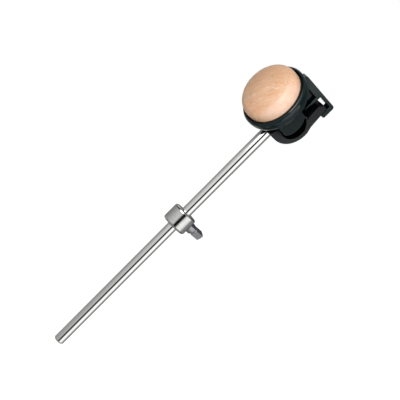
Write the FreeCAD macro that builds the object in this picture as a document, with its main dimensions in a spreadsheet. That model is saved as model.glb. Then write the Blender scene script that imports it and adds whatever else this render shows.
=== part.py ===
"""Bass drum beater: a chrome rod with a tilting wood-faced head and a sliding weight.

The rod stands along +Z with its free end at the origin. The head strikes towards -Y, and X runs across it.
"""
import FreeCAD, Part
import math
import os
import Sketcher

# Driving sizes in millimetres, angles in degrees.
SIZES = {
    # rod
    "shaft_dia": 8.0,
    "shaft_reach": 213.0,
    "shaft_tip_chamfer": 1.0,
    "shaft_end_chamfer": 0.6,
    "home_groove_depth": 0.3,
    "home_groove_width": 1.0,
    "home_groove_inset": 0.1,
    # cup, set ahead of the rod's axis
    "lip_ahead": 20.2,
    "cup_dia": 50.6,
    "cup_band": 3.2,
    "cup_round": 11.0,
    "lip_round": 1.9,
    "lip_inner_chamfer": 0.3,
    "floor_thickness": 3.2,
    # wood striker
    "wood_dia": 44.3,
    "wood_stand": 3.3,
    "wood_crown": 10.6,
    "wood_shoulder": 7.2,
    "plug_straight": 6.2,
    "plug_back_dia": 34.0,
    "wood_clearance": 0.1,
    # screw that holds the striker
    "striker_screw_dia": 4.0,
    "striker_screw_head_dia": 8.0,
    "striker_screw_length": 15.0,
    "striker_screw_point": 3.0,
    "striker_slot_width": 1.2,
    "striker_slot_depth": 1.0,
    # tilt pivot
    "pivot_back": 3.3,
    "pivot_rise": 16.85,
    "pivot_drop": 4.05,
    "pivot_pin_wall": 3.3,
    "pivot_pin_dia": 4.0,
    "pivot_pin_recess": 0.2,
    "pivot_pin_blind": 9.6,
    "pivot_pin_chamfer": 0.3,
    "pin_clearance": 0.05,
    "fit_clearance": 0.02,
    # cheeks of the cup
    "cheek_dia": 19.7,
    "cheek_ahead": 4.0,
    "cheek_half_width": 12.2,
    "flare_radius": 130.0,
    "flank_inset": 0.1,
    "flank_gap": 0.6,
    "neck_below_pivot": 5.9,
    "cheek_edge": 0.6,
    # washers between the cheeks and the web
    "tilt_washer_dia": 10.0,
    "tilt_washer_thickness": 0.7,
    "tilt_washer_play": 0.05,
    # arm, rib and hook of the cup
    "fin_half_width": 3.4,
    "arm_rise": 1.4,
    "arm_front": 11.2,
    "arm_front_slope": 1.4,
    "arm_root": 11.4,
    "arm_depth": 5.5,
    "arm_thin_depth": 2.5,
    "rib_back": 10.6,
    "rib_foot_step": 1.2,
    "rib_thickness": 2.8,
    "floor_bar_top": 10.7,
    "floor_bar_depth": 2.4,
    "hook_back": 27.7,
    "hook_lip_thickness": 4.0,
    "hook_lip_length": 11.2,
    "hook_lip_chamfer": 1.0,
    "hook_corner": 2.2,
    "fin_web_half_width": 0.8,
    "fin_edge": 0.6,
    # carrier on the rod
    "web_half_width": 6.2,
    "shroud_half_width": 12.4,
    "shroud_bore_dia": 22.0,
    "shroud_outer_radius": 18.1,
    "carrier_front": 9.5,
    "carrier_front_drop": 5.85,
    "boss_dia": 14.0,
    "neck_clearance": 1.4,
    "cup_clearance": 0.5,
    "tilt_forward": 6.6,
    # stop strap of the carrier
    "strap_waist_rise": 8.15,
    "strap_waist_back": 17.7,
    "strap_top_rise": 25.7,
    "strap_top_back": 21.0,
    "strap_top_front": 15.8,
    "strap_chamfer_front": 13.2,
    "strap_chamfer_drop": 3.1,
    "strap_foot_front": 10.6,
    "strap_foot_rise": 10.65,
    "strap_half_width": 6.0,
    "strap_taper_rise": 3.15,
    "carrier_edge": 0.8,
    # thread insert and set screw in the carrier
    "set_screw_rise": 5.2,
    "set_screw_dia": 5.0,
    "set_screw_length": 7.5,
    "set_screw_hex": 2.5,
    "set_screw_hex_depth": 2.5,
    "set_screw_chamfer": 0.5,
    "insert_dia": 7.0,
    "insert_length": 5.0,
    "insert_ahead": 6.2,
    "insert_groove_depth": 0.4,
    "insert_groove_width": 1.2,
    # sliding weight
    "collar_dia": 19.2,
    "collar_length": 14.0,
    "collar_height": 125.1,
    "collar_edge": 1.8,
    "collar_bore_chamfer": 0.6,
    "collar_clearance": 0.08,
    "collar_flat_dia": 9.6,
    "collar_flat_depth": 1.3,
    # key bolt and its washer
    "bolt_thread_dia": 6.0,
    "bolt_tip_chamfer": 0.8,
    "bolt_flange_dia": 8.0,
    "bolt_flange_length": 5.9,
    "bolt_flange_edge": 0.5,
    "bolt_shoulder_length": 1.8,
    "bolt_neck_dia": 5.5,
    "bolt_neck_length": 0.7,
    "bolt_head_across": 5.3,
    "bolt_head_length": 8.8,
    "bolt_head_crown_dia": 6.9,
    "bolt_head_crown_length": 0.7,
    "bolt_rest_turn": 20.0,
    "bolt_washer_dia": 8.0,
    "bolt_washer_thickness": 1.2,
    "bolt_washer_gap_share": 0.12,
    # how far every cutting solid runs past what it cuts
    "overrun": 2.0,
}

doc = FreeCAD.newDocument("bass_drum_beater")
sheet = doc.addObject("Spreadsheet::Sheet", "sizes")
for row, (alias, number) in enumerate(SIZES.items(), start=1):
    sheet.set(f"A{row}", alias)
    sheet.set(f"B{row}", str(number))
    sheet.setAlias(f"B{row}", alias)
doc.recompute()


class Size:
    """A length with its value and the expression that gives it from the sheet."""

    def __init__(self, value, text):
        self.value = value
        self.text = text

    def _join(self, other, sign, value):
        text = other.text if isinstance(other, Size) else str(other)
        return Size(value, f"({self.text} {sign} {text})")

    def __add__(self, other):
        return self._join(other, "+", self.value + plain(other))

    def __sub__(self, other):
        return self._join(other, "-", self.value - plain(other))

    def __mul__(self, other):
        return self._join(other, "*", self.value * plain(other))

    def __truediv__(self, other):
        return self._join(other, "/", self.value / plain(other))

    def __neg__(self):
        return Size(-self.value, f"(0 - {self.text})")


def plain(item):
    """The plain number of a size or a number."""
    return item.value if isinstance(item, Size) else item


def size(alias):
    """One driving size from the sheet."""
    return Size(SIZES[alias], f"sizes.{alias}")


def root(item):
    """The square root of a size's square."""
    return Size(math.sqrt(item.value), f"sqrt({item.text})")


ZERO = Size(0.0, "0")
OVERRUN = size("overrun")

# Rotations that lay a sketch or a turned piece along the axes of the part.
SIDE_PLANE = FreeCAD.Rotation(FreeCAD.Vector(1, 1, 1), 120)
FRONT_PLANE = FreeCAD.Rotation(FreeCAD.Vector(1, 0, 0), 90)
PLAN_PLANE = FreeCAD.Rotation()
ALONG_UP = FreeCAD.Rotation()
ALONG_FRONT = FreeCAD.Rotation(FreeCAD.Vector(1, 0, 0), 90)
ALONG_BACK = FreeCAD.Rotation(FreeCAD.Vector(1, 0, 0), -90)
ALONG_ACROSS = FreeCAD.Rotation(FreeCAD.Vector(0, 1, 0), 90)


def bind(item, name, amount):
    """Tie one property of a document object to the sheet."""
    item.setExpression(name, amount.text)


def place(item, rotation, base):
    """Turn an object and tie its place to the sheet."""
    item.Placement = FreeCAD.Placement(FreeCAD.Vector(*[part.value for part in base]), rotation)
    for axis, part in zip("xyz", base):
        bind(item, f"Placement.Base.{axis}", part)


class Outline:
    """A closed outline of lines and arcs whose corners are sizes."""

    def __init__(self, first, second):
        self.corners = [(first, second)]
        self.rounds = []

    def line(self, first, second):
        """A straight run to the next corner."""
        self.corners.append((first, second))
        self.rounds.append(None)
        return self

    def arc(self, first, second, radius, left):
        """An arc of less than half a circle to the next corner, turning left or right."""
        self.corners.append((first, second))
        self.rounds.append((radius, left))
        return self

    def draw(self, sketch):
        """Draw the outline in a sketch, every corner and radius tied to the sheet."""
        self.rounds.append(None)
        count = len(self.corners)
        ends = []
        for index, bend in enumerate(self.rounds):
            start = corner_point(self.corners[index])
            stop = corner_point(self.corners[(index + 1) % count])
            if bend is None:
                sketch.addGeometry(Part.LineSegment(start, stop), False)
                ends.append((1, 2))
            else:
                sketch.addGeometry(arc_between(start, stop, bend[0].value, bend[1]), False)
                ends.append((1, 2) if bend[1] else (2, 1))
        for index, bend in enumerate(self.rounds):
            after = (index + 1) % count
            sketch.addConstraint(
                Sketcher.Constraint("Coincident", index, ends[index][1], after, ends[after][0])
            )
            for kind, amount in zip(("DistanceX", "DistanceY"), self.corners[index]):
                fix(sketch, Sketcher.Constraint(kind, -1, 1, index, ends[index][0], amount.value), amount)
            if bend is not None:
                fix(sketch, Sketcher.Constraint("Radius", index, bend[0].value), bend[0])


def corner_point(corner):
    """A corner of an outline as a point of its sketch."""
    return FreeCAD.Vector(corner[0].value, corner[1].value, 0)


def fix(sketch, constraint, amount):
    """Add a constraint whose value follows the sheet."""
    index = sketch.addConstraint(constraint)
    sketch.setExpression(f"Constraints[{index}]", amount.text)


def arc_between(start, stop, radius, left):
    """The shorter arc between two points, counted anticlockwise."""
    chord = stop - start
    across = FreeCAD.Vector(-chord.y, chord.x, 0).normalize()
    away = math.sqrt(radius**2 - (chord.Length / 2) ** 2)
    middle = (start + stop) / 2 + across * (away if left else -away)
    first, last = (start, stop) if left else (stop, start)
    angles = [math.atan2(point.y - middle.y, point.x - middle.x) for point in (first, last)]
    if angles[1] < angles[0]:
        angles[1] += 2 * math.pi
    return Part.ArcOfCircle(Part.Circle(middle, FreeCAD.Vector(0, 0, 1), radius), *angles)


def origin_plane(body, role):
    """One of a body's own origin planes."""
    return next(item for item in body.Origin.OriginFeatures if item.Role == role)


def turned(name, outline, rotation, base):
    """A turned piece: an outline of radius and height revolved about its own axis."""
    body = doc.addObject("PartDesign::Body", name)
    sketch = body.newObject("Sketcher::SketchObject", f"{name}_profile")
    sketch.AttachmentSupport = [(origin_plane(body, "XZ_Plane"), "")]
    sketch.MapMode = "FlatFace"
    outline.draw(sketch)
    solid = body.newObject("PartDesign::Revolution", f"{name}_turning")
    solid.Profile = sketch
    solid.ReferenceAxis = (sketch, ["V_Axis"])
    solid.Angle = 360
    place(body, rotation, base)
    return body


def extruded(name, outline, rotation, direction, half_length):
    """An outline drawn in one of the part's planes and extruded evenly to both sides."""
    sketch = doc.addObject("Sketcher::SketchObject", f"{name}_outline")
    sketch.Placement = FreeCAD.Placement(FreeCAD.Vector(), rotation)
    outline.draw(sketch)
    solid = doc.addObject("Part::Extrusion", name)
    solid.Base = sketch
    solid.DirMode = "Custom"
    solid.Dir = FreeCAD.Vector(*direction)
    solid.Solid = True
    bind(solid, "LengthFwd", half_length)
    bind(solid, "LengthRev", half_length)
    return solid


def box(name, low, high):
    """A box between two corners."""
    solid = doc.addObject("Part::Box", name)
    for edge, start, stop in zip(("Length", "Width", "Height"), low, high):
        bind(solid, edge, stop - start)
    place(solid, ALONG_UP, low)
    return solid


def rod(name, radius, length, rotation, base):
    """A plain cylinder from a base point along the turned axis."""
    solid = doc.addObject("Part::Cylinder", name)
    bind(solid, "Radius", radius)
    bind(solid, "Height", length)
    place(solid, rotation, base)
    return solid


def joined(name, pieces):
    """Several solids joined into one."""
    solid = doc.addObject("Part::MultiFuse", name)
    solid.Shapes = pieces
    solid.Refine = True
    return solid


def shared(name, pieces):
    """What several solids have in common."""
    solid = doc.addObject("Part::MultiCommon", name)
    solid.Shapes = pieces
    solid.Refine = True
    return solid


def cut(name, base, tools):
    """A solid with others cut from it."""
    for number, tool in enumerate(tools, start=1):
        solid = doc.addObject("Part::Cut", name if number == len(tools) else f"{name}_cut_{number}")
        solid.Base = base
        solid.Tool = tool
        solid.Refine = True
        base = solid
    return base


def rounded(name, base, radius, wanted):
    """A solid with the edges that a test picks rounded."""
    doc.recompute()
    solid = doc.addObject("Part::Fillet", name)
    solid.Base = base
    picked = [number for number, edge in enumerate(base.Shape.Edges, start=1) if wanted(edge.BoundBox)]
    solid.Edges = [(number, radius.value, radius.value) for number in picked]
    return solid


# Places that several pieces share.
SHAFT_R = size("shaft_dia") / 2
LIP_Y = -size("lip_ahead")
CUP_R = size("cup_dia") / 2
CUP_DEPTH = size("cup_band") + size("cup_round")
CUP_BACK_Y = LIP_Y + CUP_DEPTH
WOOD_R = size("wood_dia") / 2
PLUG_BACK_R = size("plug_back_dia") / 2
PLUG_DEPTH = CUP_DEPTH - size("floor_thickness")
PIVOT_Y = size("pivot_back")
PIVOT_Z = size("shaft_reach") + size("pivot_rise")
HEAD_Z = PIVOT_Z + size("pivot_drop")
PIN_R = size("pivot_pin_dia") / 2
SHAFT_TOP = PIVOT_Z - PIN_R - size("pin_clearance") - size("pivot_pin_wall")
CHEEK_R = size("cheek_dia") / 2
CHEEK_Y = PIVOT_Y - size("cheek_ahead")
CHEEK_END_Y = CHEEK_Y + CHEEK_R
FLANK_Y = LIP_Y + size("cup_band")
CHEEK_INNER = size("web_half_width") + size("tilt_washer_thickness") + size("tilt_washer_play") * 2
CARRIER_Z = size("shaft_reach")
COLLAR_LOW = size("collar_height") - size("collar_length") / 2
COLLAR_R = size("collar_dia") / 2
COLLAR_FLAT_Y = COLLAR_R - size("collar_flat_depth")
SCREW_R = size("striker_screw_dia") / 2
SCREW_HEAD_R = size("striker_screw_head_dia") / 2
SCREW_HEAD_DEPTH = SCREW_HEAD_R - SCREW_R
CUP_ORIGIN = (ZERO, LIP_Y, HEAD_Z)


def beater_shaft():
    """The rod, with a chamfered free end and a fine groove that marks the weight's home."""
    tip = size("shaft_tip_chamfer")
    top = size("shaft_end_chamfer")
    groove_r = SHAFT_R - size("home_groove_depth")
    low = COLLAR_LOW + size("home_groove_inset")
    high = low + size("home_groove_width")
    profile = Outline(ZERO, ZERO).line(SHAFT_R - tip, ZERO).line(SHAFT_R, tip)
    profile.line(SHAFT_R, low).line(groove_r, low).line(groove_r, high).line(SHAFT_R, high)
    profile.line(SHAFT_R, SHAFT_TOP - top).line(SHAFT_R - top, SHAFT_TOP).line(ZERO, SHAFT_TOP)
    return turned("beater_shaft", profile, ALONG_UP, (ZERO, ZERO, ZERO))


def wood_striker():
    """The turned striker: a crown and a rounded shoulder on a plug with a bevelled back."""
    radius = WOOD_R
    back_r = PLUG_BACK_R
    shoulder = size("wood_shoulder")
    crown = size("wood_crown")
    stand = size("wood_stand")
    reach = radius - shoulder
    crown_r = (reach * reach + crown * crown - shoulder * shoulder) / ((crown - shoulder) * 2)
    meet_r = reach + shoulder * reach / (crown_r - shoulder)
    meet_h = stand + shoulder * (crown_r - crown) / (crown_r - shoulder)
    pilot_r = SCREW_R + size("fit_clearance")
    pilot_top = size("striker_screw_length") - CUP_DEPTH + size("wood_clearance")
    profile = Outline(pilot_r, -PLUG_DEPTH).line(back_r, -PLUG_DEPTH).line(radius, -size("plug_straight"))
    profile.line(radius, stand).arc(meet_r, meet_h, shoulder, True)
    profile.arc(ZERO, stand + crown, crown_r, True).line(ZERO, pilot_top).line(pilot_r, pilot_top)
    return turned("wood_striker", profile, ALONG_FRONT, CUP_ORIGIN)


def bowl_outline(gap):
    """The outside of the cup's bowl, or a larger copy of it that clears the bowl."""
    radius = CUP_R + gap
    bend = size("cup_round") + gap
    lip = size("lip_round")
    back = -CUP_DEPTH - gap
    profile = Outline(ZERO, back).line(radius - bend, back).arc(radius, back + bend, bend, True)
    profile.line(radius, gap - lip).arc(radius - lip, gap, lip, True).line(ZERO, gap)
    return profile


def cup_cavity():
    """The hollow of the cup that takes the striker, a little larger than its plug."""
    radius = WOOD_R + size("wood_clearance")
    back_r = PLUG_BACK_R + size("wood_clearance")
    chamfer = size("lip_inner_chamfer")
    profile = Outline(ZERO, -PLUG_DEPTH).line(back_r, -PLUG_DEPTH).line(radius, -size("plug_straight"))
    profile.line(radius, -chamfer).line(radius + chamfer, ZERO).line(radius + chamfer, OVERRUN)
    profile.line(ZERO, OVERRUN)
    return turned("cup_cavity", profile, ALONG_FRONT, CUP_ORIGIN)


def cup_screw_hole():
    """The countersunk hole through the floor of the cup."""
    shank = SCREW_R + size("fit_clearance")
    head = SCREW_HEAD_R + size("fit_clearance")
    length = size("floor_thickness") + OVERRUN
    profile = Outline(ZERO, -OVERRUN).line(head, -OVERRUN).line(head, ZERO)
    profile.line(shank, SCREW_HEAD_DEPTH).line(shank, length).line(ZERO, length)
    return turned("cup_screw_hole", profile, ALONG_FRONT, (ZERO, CUP_BACK_Y, HEAD_Z))


def cup_neck():
    """The two cheeks and the flanks that run flush from the lip to them, before their slot is cut."""
    wide = CUP_R
    thin = size("cheek_half_width")
    bend = size("flare_radius")
    plan = Outline(-thin, CHEEK_END_Y).arc(-wide, FLANK_Y, bend, False).line(wide, FLANK_Y)
    plan.arc(thin, CHEEK_END_Y, bend, False)
    plan_solid = extruded("cheek_plan", plan, PLAN_PLANE, (0, 0, 1), HEAD_Z * 2)
    disc = rod("cheek_disc", CHEEK_R, wide * 2, ALONG_ACROSS, (-wide, CHEEK_Y, PIVOT_Z))
    low = PIVOT_Z - CHEEK_R
    bar = box("cheek_bar", (-wide, FLANK_Y, low), (wide, CHEEK_Y, PIVOT_Z + CHEEK_R))
    sharp = shared("cup_neck_sharp", [plan_solid, joined("cheek_side", [disc, bar])])
    soft = rounded("cup_neck_soft", sharp, size("cheek_edge"), lambda bounds: bounds.YMax > CUP_BACK_Y.value)
    barrel_r = CUP_R - size("flank_inset")
    barrel = rod("cheek_barrel", barrel_r, CHEEK_END_Y - FLANK_Y, ALONG_BACK, (ZERO, FLANK_Y, HEAD_Z))
    inner = size("shroud_half_width") + size("flank_gap")
    under = box(
        "neck_under",
        (-inner, CUP_BACK_Y - size("floor_thickness"), low - OVERRUN),
        (inner, PIVOT_Y, PIVOT_Z - size("neck_below_pivot")),
    )
    core = rod("cheek_core", CHEEK_R, inner * 2, ALONG_ACROSS, (-inner, PIVOT_Y, PIVOT_Z))
    return cut("cup_neck", shared("cup_flanks", [soft, barrel]), [cut("neck_relief", under, [core])])


def cup_fin():
    """The arm over the head with its stop rib, floor bar and hook: one fin, pocketed on both sides."""
    axis = HEAD_Z
    top = axis + CUP_R + size("arm_rise")
    under = top - size("arm_depth")
    thin_under = top - size("arm_thin_depth")
    front = -size("arm_front")
    slope = size("arm_front_slope")
    back = size("hook_back")
    corner = size("hook_corner")
    lip_in = back - size("hook_lip_thickness")
    lip_low = top - size("hook_lip_length")
    nick = size("hook_lip_chamfer")
    rib_back = size("rib_back")
    foot_back = rib_back - size("rib_foot_step")
    rib_front = rib_back - size("rib_thickness")
    bar_top = axis + size("floor_bar_top")
    bar_low = bar_top - size("floor_bar_depth")
    bar_front = CUP_BACK_Y - size("floor_thickness")
    side = Outline(front, top).line(front - slope, top - slope).line(-size("arm_root"), under)
    side.line(bar_front, under).line(bar_front, bar_low).line(foot_back, bar_low).line(rib_back, under)
    side.line(rib_back, thin_under).line(lip_in, thin_under).line(lip_in, lip_low + nick)
    side.line(lip_in + nick, lip_low).line(back - nick, lip_low).line(back, lip_low + nick)
    side.line(back, top - corner).arc(back - corner, top, corner, True)
    fin = extruded("fin_plate", side, SIDE_PLANE, (1, 0, 0), size("fin_half_width"))
    width = size("fin_half_width") + OVERRUN
    web = size("fin_web_half_width")
    pockets = []
    for name, start, stop in (("right", web, width), ("left", -width, -web)):
        pockets.append(box(f"fin_pocket_{name}", (start, CUP_BACK_Y, bar_top), (stop, rib_front, under)))
    sharp = cut("cup_fin_sharp", fin, pockets)
    half = size("fin_half_width").value
    return rounded(
        "cup_fin",
        sharp,
        size("fin_edge"),
        lambda bounds: math.isclose(bounds.XMin, bounds.XMax, rel_tol=1e-4)
        and math.isclose(abs(bounds.XMin), half, rel_tol=1e-4),
    )


def head_cup():
    """The cup: bowl, cheeks and fin in one moulding, with its cavity, slot and holes."""
    bowl = turned("cup_bowl", bowl_outline(ZERO), ALONG_FRONT, CUP_ORIGIN)
    solid = joined("cup_solid", [bowl, cup_neck(), cup_fin()])
    slot = box(
        "cheek_slot",
        (-CHEEK_INNER, CUP_BACK_Y, PIVOT_Z - CHEEK_R - OVERRUN),
        (CHEEK_INNER, PIVOT_Y + CHEEK_R + OVERRUN, PIVOT_Z + CHEEK_R),
    )
    blind = size("pivot_pin_blind") + size("fit_clearance")
    length = blind + CUP_R
    pin_hole = rod(
        "cheek_pin_hole",
        PIN_R + size("fit_clearance"),
        length,
        ALONG_ACROSS,
        (-CUP_R, PIVOT_Y, PIVOT_Z),
    )
    return cut("head_cup", solid, [cup_cavity(), slot, pin_hole, cup_screw_hole()])


def striker_screw():
    """The countersunk wood screw that holds the striker, with a slot in its head."""
    shank = SCREW_R
    head = SCREW_HEAD_R
    length = size("striker_screw_length")
    point = length - size("striker_screw_point")
    profile = Outline(ZERO, ZERO).line(head, ZERO).line(shank, SCREW_HEAD_DEPTH).line(shank, point)
    profile.line(ZERO, length)
    blank = turned("striker_screw_blank", profile, ALONG_FRONT, (ZERO, CUP_BACK_Y, HEAD_Z))
    half = size("striker_slot_width") / 2
    slot = box(
        "striker_screw_slot",
        (-head - OVERRUN, CUP_BACK_Y - size("striker_slot_depth"), HEAD_Z - half),
        (head + OVERRUN, CUP_BACK_Y + OVERRUN, HEAD_Z + half),
    )
    return cut("striker_screw", blank, [slot])


def flare_half_at_pivot():
    """Half the width of the flared cheeks at the pivot, on the arc of the flare."""
    thin = size("cheek_half_width")
    bend = size("flare_radius")
    run = CHEEK_END_Y - FLANK_Y
    rise = CUP_R - thin
    chord_square = run * run + rise * rise
    away = root(bend * bend / chord_square - Size(0.25, "0.25"))
    middle_x = thin + rise / 2 + run * away
    middle_y = CHEEK_END_Y - run / 2 + rise * away
    drop = PIVOT_Y - middle_y
    return middle_x - root(bend * bend - drop * drop)


def tilt_pin():
    """The cross pin, pressed into both cheeks from one side and blind in the other."""
    far = flare_half_at_pivot() - size("pivot_pin_recess")
    length = far + size("pivot_pin_blind")
    nick = size("pivot_pin_chamfer")
    profile = Outline(ZERO, ZERO).line(PIN_R - nick, ZERO).line(PIN_R, nick)
    profile.line(PIN_R, length - nick).line(PIN_R - nick, length).line(ZERO, length)
    return turned("tilt_pin", profile, ALONG_ACROSS, (-far, PIVOT_Y, PIVOT_Z))


def tilt_washers():
    """The two thin washers between the cheeks and the carrier's web."""
    hole = PIN_R + size("pin_clearance")
    outer = size("tilt_washer_dia") / 2
    thick = size("tilt_washer_thickness")
    inside = size("web_half_width") + size("tilt_washer_play")
    pair = []
    for name, base in (("right_washer", inside), ("left_washer", -inside - thick)):
        profile = Outline(hole, ZERO).line(outer, ZERO).line(outer, thick).line(hole, thick)
        pair.append(turned(name, profile, ALONG_ACROSS, (base, PIVOT_Y, PIVOT_Z)))
    group = doc.addObject("Part::Compound", "tilt_washers")
    group.Links = pair
    return group


def carrier_shell():
    """The carrier's side outline with its shroud and strap, tapered in width up to the strap's top."""
    low = CARRIER_Z
    outer = size("shroud_outer_radius")
    front = -size("carrier_front")
    top = PIVOT_Z + size("strap_top_rise")
    foot = (size("strap_foot_front"), PIVOT_Z + size("strap_foot_rise"))
    side = Outline(front, low).line(ZERO, low).arc(outer, low + outer, outer, True)
    side.line(size("strap_waist_back"), PIVOT_Z + size("strap_waist_rise")).line(size("strap_top_back"), top)
    side.line(size("strap_top_front"), top)
    side.line(size("strap_chamfer_front"), top - size("strap_chamfer_drop")).line(*foot)
    side.line(front, PIVOT_Z - size("carrier_front_drop"))
    wide = size("shroud_half_width")
    thin = size("strap_half_width")
    plate = extruded("carrier_plate", side, SIDE_PLANE, (1, 0, 0), wide)
    waist = PIVOT_Z + size("strap_taper_rise")
    face = Outline(-wide, low).line(wide, low).line(wide, waist).line(thin, top).line(-thin, top)
    face.line(-wide, waist)
    depth = size("strap_top_back") + size("carrier_front")
    taper = extruded("carrier_taper", face, FRONT_PLANE, (0, 1, 0), depth)
    sharp = shared("carrier_shell_sharp", [plate, taper])
    return rounded("carrier_shell", sharp, size("carrier_edge"), lambda bounds: bounds.YMax > front.value)


def cup_clearance():
    """The space of the bowl tilted forward to its stop, which the carrier keeps clear of."""
    angle = size("tilt_forward")
    body = turned("cup_clearance", bowl_outline(size("cup_clearance")), ALONG_FRONT, CUP_ORIGIN)
    drop = size("pivot_drop")
    ahead = size("lip_ahead") + PIVOT_Y
    turn = FreeCAD.Rotation(FreeCAD.Vector(1, 0, 0), 90 + angle.value)
    sine = Size(math.sin(math.radians(angle.value)), f"sin({angle.text} * 1 deg)")
    cosine = Size(math.cos(math.radians(angle.value)), f"cos({angle.text} * 1 deg)")
    place(body, turn, (ZERO, PIVOT_Y - ahead * cosine - drop * sine, PIVOT_Z - ahead * sine + drop * cosine))
    return body


def head_carrier():
    """The carrier: shroud, web and strap, hollowed for the cheeks and bored for rod, pin and insert."""
    web = size("web_half_width")
    wide = size("shroud_half_width") + OVERRUN
    bore_r = size("shroud_bore_dia") / 2
    boss = rod("carrier_boss", size("boss_dia") / 2, web * 2, ALONG_ACROSS, (-web, PIVOT_Y, PIVOT_Z))
    tools = []
    for name, start in (("right", web), ("left", -wide)):
        depth = wide - web
        tools.append(rod(f"shroud_bore_{name}", bore_r, depth, ALONG_ACROSS, (start, PIVOT_Y, PIVOT_Z)))
        neck_low = PIVOT_Z - size("neck_below_pivot") - size("neck_clearance")
        low = (start, -size("carrier_front") - OVERRUN, neck_low)
        high = (start + depth, PIVOT_Y, HEAD_Z)
        tools.append(box(f"neck_way_{name}", low, high))
    shaft_r = SHAFT_R + size("fit_clearance")
    grip = SHAFT_TOP - CARRIER_Z + OVERRUN
    tools.append(rod("carrier_bore", shaft_r, grip, ALONG_UP, (ZERO, ZERO, CARRIER_Z - OVERRUN)))
    pin_r = PIN_R + size("pin_clearance")
    tools.append(rod("carrier_pin_bore", pin_r, web * 2, ALONG_ACROSS, (-web, PIVOT_Y, PIVOT_Z)))
    height = CARRIER_Z + size("set_screw_rise")
    insert_r = size("insert_dia") / 2 + size("fit_clearance")
    way = size("shroud_outer_radius") - size("insert_ahead") + OVERRUN
    tools.append(rod("insert_way", insert_r, way, ALONG_BACK, (ZERO, size("insert_ahead"), height)))
    screw_r = size("set_screw_dia") / 2 + size("fit_clearance")
    tools.append(rod("set_screw_way", screw_r, size("insert_ahead"), ALONG_BACK, (ZERO, ZERO, height)))
    tools.append(cup_clearance())
    return cut("head_carrier", joined("carrier_solid", [carrier_shell(), boss]), tools)


def carrier_insert():
    """The brass thread insert, with a grip groove round it."""
    outer = size("insert_dia") / 2
    hole = size("set_screw_dia") / 2 + size("fit_clearance")
    length = size("insert_length")
    inner = outer - size("insert_groove_depth")
    low = (length - size("insert_groove_width")) / 2
    high = (length + size("insert_groove_width")) / 2
    profile = Outline(hole, ZERO).line(outer, ZERO).line(outer, low).line(inner, low).line(inner, high)
    profile.line(outer, high).line(outer, length).line(hole, length)
    base = (ZERO, size("insert_ahead"), CARRIER_Z + size("set_screw_rise"))
    return turned("carrier_insert", profile, ALONG_BACK, base)


def hexagon(across):
    """A hexagon by its distance across flats, with two corners on the first axis."""
    corner = across / root(Size(3.0, "3"))
    half = across / 2
    shape = Outline(corner, ZERO).line(corner / 2, half).line(-corner / 2, half).line(-corner, ZERO)
    return shape.line(-corner / 2, -half).line(corner / 2, -half)


def carrier_set_screw():
    """The socket set screw that bears on the rod."""
    outer = size("set_screw_dia") / 2
    length = size("set_screw_length")
    nick = size("set_screw_chamfer")
    start = SHAFT_R + size("fit_clearance")
    profile = Outline(ZERO, ZERO).line(outer - nick, ZERO).line(outer, nick)
    profile.line(outer, length - nick).line(outer - nick, length).line(ZERO, length)
    base = (ZERO, start, CARRIER_Z + size("set_screw_rise"))
    body = turned("carrier_set_screw", profile, ALONG_BACK, base)
    doc.recompute()
    sketch = body.newObject("Sketcher::SketchObject", "set_screw_socket")
    sketch.AttachmentSupport = [(origin_plane(body, "XY_Plane"), "")]
    sketch.MapMode = "FlatFace"
    bind(sketch, "AttachmentOffset.Base.z", length)
    hexagon(size("set_screw_hex")).draw(sketch)
    socket = body.newObject("PartDesign::Pocket", "set_screw_pocket")
    socket.Profile = sketch
    bind(socket, "Length", size("set_screw_hex_depth"))
    return body


def weight_collar():
    """The sliding weight: a rounded ring with a flat and a threaded hole for the key bolt."""
    bore = SHAFT_R + size("collar_clearance")
    edge = size("collar_edge")
    nick = size("collar_bore_chamfer")
    length = size("collar_length")
    profile = Outline(bore + nick, ZERO).line(COLLAR_R - edge, ZERO).arc(COLLAR_R, edge, edge, True)
    profile.line(COLLAR_R, length - edge).arc(COLLAR_R - edge, length, edge, True)
    profile.line(bore + nick, length).line(bore, length - nick).line(bore, nick)
    ring = turned("collar_ring", profile, ALONG_UP, (ZERO, ZERO, COLLAR_LOW))
    height = size("collar_height")
    flat_r = size("collar_flat_dia") / 2
    flat = rod("collar_flat", flat_r, COLLAR_R, ALONG_BACK, (ZERO, COLLAR_FLAT_Y, height))
    hole_r = size("bolt_thread_dia") / 2 + size("fit_clearance") * 2
    hole = rod("collar_thread", hole_r, COLLAR_R + OVERRUN, ALONG_BACK, (ZERO, ZERO, height))
    return cut("weight_collar", ring, [flat, hole])


def bolt_washer():
    """The split lock washer between the collar's flat and the bolt's flange."""
    hole = size("bolt_thread_dia") / 2 + size("collar_clearance")
    outer = size("bolt_washer_dia") / 2
    thick = size("bolt_washer_thickness")
    profile = Outline(hole, ZERO).line(outer, ZERO).line(outer, thick).line(hole, thick)
    base = (ZERO, COLLAR_FLAT_Y, size("collar_height"))
    ring = turned("bolt_washer_ring", profile, ALONG_BACK, base)
    half_gap = size("bolt_washer_dia") * size("bolt_washer_gap_share") / 2
    gap = box(
        "bolt_washer_gap",
        (ZERO, COLLAR_FLAT_Y - OVERRUN, size("collar_height") - half_gap),
        (outer + OVERRUN, COLLAR_FLAT_Y + thick + OVERRUN, size("collar_height") + half_gap),
    )
    return cut("bolt_washer", ring, [gap])


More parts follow.
